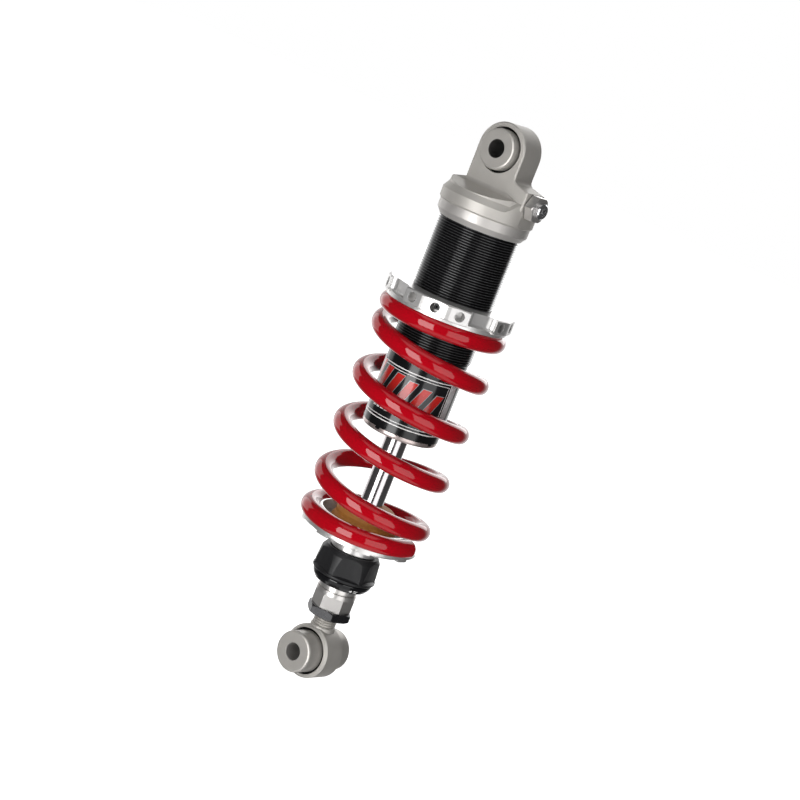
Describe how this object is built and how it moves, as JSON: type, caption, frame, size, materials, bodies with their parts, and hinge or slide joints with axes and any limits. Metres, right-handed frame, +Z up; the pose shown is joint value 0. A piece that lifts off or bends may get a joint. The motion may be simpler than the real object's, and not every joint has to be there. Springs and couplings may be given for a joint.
{
  "type": "motorcycle rear shock absorber",
  "caption": "Motorcycle rear shock absorber: threaded gas damper with preload ring, red coil spring, rebound adjuster knob and bearing eyes at both ends.",
  "frame": {"origin": "centre of the lower eye's bolt bore", "axes": "+Z up the damper to the upper eye, bolt bores along Y, gas valve towards +X"},
  "size_m": [0.0775, 0.0774, 0.3472],
  "materials": {
    "black_anodised": "semi-gloss black anodised aluminium",
    "foil_label": "glossy printed foil, black with white keyline and red bars",
    "cap_aluminium": "bead-blasted satin aluminium",
    "bright_aluminium": "turned and milled bright aluminium",
    "spring_paint": "deep red powder coat under gloss lacquer",
    "hard_chrome": "ground and hard chromed",
    "bright_steel": "satin nickel-plated steel",
    "black_oxide_steel": "black oxide",
    "spring_steel": "phosphated spring steel",
    "knob_plastic": "satin black moulded",
    "index_ring_black": "glossy black",
    "bumper_foam": "amber polyurethane",
    "seal_rubber": "nitrile rubber",
    "bush_bronze": "bronze-backed bush",
    "piston_band": "filled PTFE"
  },
  "bodies": {
    "damper_body": {"damper_tube": "black_anodised", "body_label": "foil_label", "end_cap": "bright_aluminium", "wiper_seal": "seal_rubber", "head_circlip": "spring_steel", "seal_head": "bright_aluminium", "rod_seal": "seal_rubber", "guide_bush": "bush_bronze", "head_o_ring": "seal_rubber", "top_out_bumper": "seal_rubber", "top_cap": "cap_aluminium", "cap_lock_ring": "cap_aluminium", "cap_o_ring": "seal_rubber", "gas_valve_seal": "seal_rubber", "gas_valve_body": "bright_steel", "gas_valve_screw": "hard_chrome", "upper_bearing_race": "spring_steel", "upper_circlips": "spring_steel", "coil_spring": "spring_paint"},
    "floating_piston_group": {"floating_piston": "bright_aluminium", "floating_piston_seal": "seal_rubber"},
    "preload_seat_group": {"preload_seat": "bright_aluminium"},
    "preload_ring_group": {"preload_ring": "bright_aluminium", "preload_grub_screw": "black_oxide_steel"},
    "rod_assembly": {"piston_rod": "hard_chrome", "compression_shims": "spring_steel", "piston": "bright_aluminium", "piston_band": "piston_band", "rebound_shims": "spring_steel", "piston_nut": "bright_steel", "bump_stop": "bumper_foam", "lower_spring_seat": "bright_aluminium", "knob_index_ring": "index_ring_black", "knob_circlip": "spring_steel", "detent_ball": "bright_steel", "rod_end": "bright_steel", "lock_nut": "black_oxide_steel"},
    "needle_group": {"rebound_needle": "bright_steel", "adjuster_pin": "bright_steel"},
    "knob": {"rebound_knob": "knob_plastic"},
    "lower_eye_group": {"lower_eye": "cap_aluminium", "lower_bearing_race": "spring_steel", "lower_circlips": "spring_steel"},
    "upper_ball": {"upper_bearing_ball": "hard_chrome"},
    "upper_sleeve": {"upper_spacer_front": "cap_aluminium", "upper_spacer_rear": "cap_aluminium"},
    "lower_ball": {"lower_bearing_ball": "hard_chrome"},
    "lower_sleeve": {"lower_spacer_front": "cap_aluminium", "lower_spacer_rear": "cap_aluminium"}
  },
  "joints": [
    {"name": "damper_stroke", "type": "slide", "parent": "damper_body", "child": "rod_assembly", "axis": [0, 0, 1], "range_m": [0, 0.046], "stiffness_N_per_m": 100000, "deforming": ["coil_spring"]},
    {"name": "floating_piston_travel", "type": "slide", "parent": "damper_body", "child": "floating_piston_group", "axis": [0, 0, 1], "range_m": [0, 0.0057]},
    {"name": "preload_turn", "type": "hinge", "parent": "preload_seat_group", "child": "preload_ring_group", "pos_m": [0, 0, 0.2226], "axis": [0, 0, 1], "range_deg": [-1830, 2190]},
    {"name": "preload_travel", "type": "slide", "parent": "damper_body", "child": "preload_seat_group", "axis": [0, 0, 1], "range_m": [-0.0075, 0.009]},
    {"name": "rebound_knob_turn", "type": "hinge", "parent": "rod_assembly", "child": "knob", "pos_m": [0, 0, 0.058], "axis": [0, 0, 1], "range_deg": [-470, 470]},
    {"name": "rebound_needle_travel", "type": "slide", "parent": "rod_assembly", "child": "needle_group", "axis": [0, 0, 1], "range_m": [-0.00125, 0.00125]},
    {"name": "length_adjust", "type": "slide", "parent": "rod_assembly", "child": "lower_eye_group", "axis": [0, 0, 1], "range_m": [-0.004, 0.005]},
    {"name": "upper_ball_tilt", "type": "hinge", "parent": "damper_body", "child": "upper_ball", "pos_m": [0, 0, 0.315], "axis": [1, 0, 0], "range_deg": [-5, 5]},
    {"name": "upper_sleeve_turn", "type": "hinge", "parent": "upper_ball", "child": "upper_sleeve", "pos_m": [0, 0, 0.315], "axis": [0, 1, 0], "continuous": true},
    {"name": "lower_ball_tilt", "type": "hinge", "parent": "lower_eye_group", "child": "lower_ball", "pos_m": [0, 0, 0], "axis": [1, 0, 0], "range_deg": [-4, 4]},
    {"name": "lower_sleeve_turn", "type": "hinge", "parent": "lower_ball", "child": "lower_sleeve", "pos_m": [0, 0, 0], "axis": [0, 1, 0], "continuous": true}
  ],
  "couplings": [
    {"joint": "floating_piston_travel", "follows": "damper_stroke", "ratio": 0.1225},
    {"joint": "preload_turn", "follows": "preload_travel", "rad_per_m": 4188.8},
    {"joint": "rebound_knob_turn", "follows": "rebound_needle_travel", "rad_per_m": 6283.2}
  ]
}
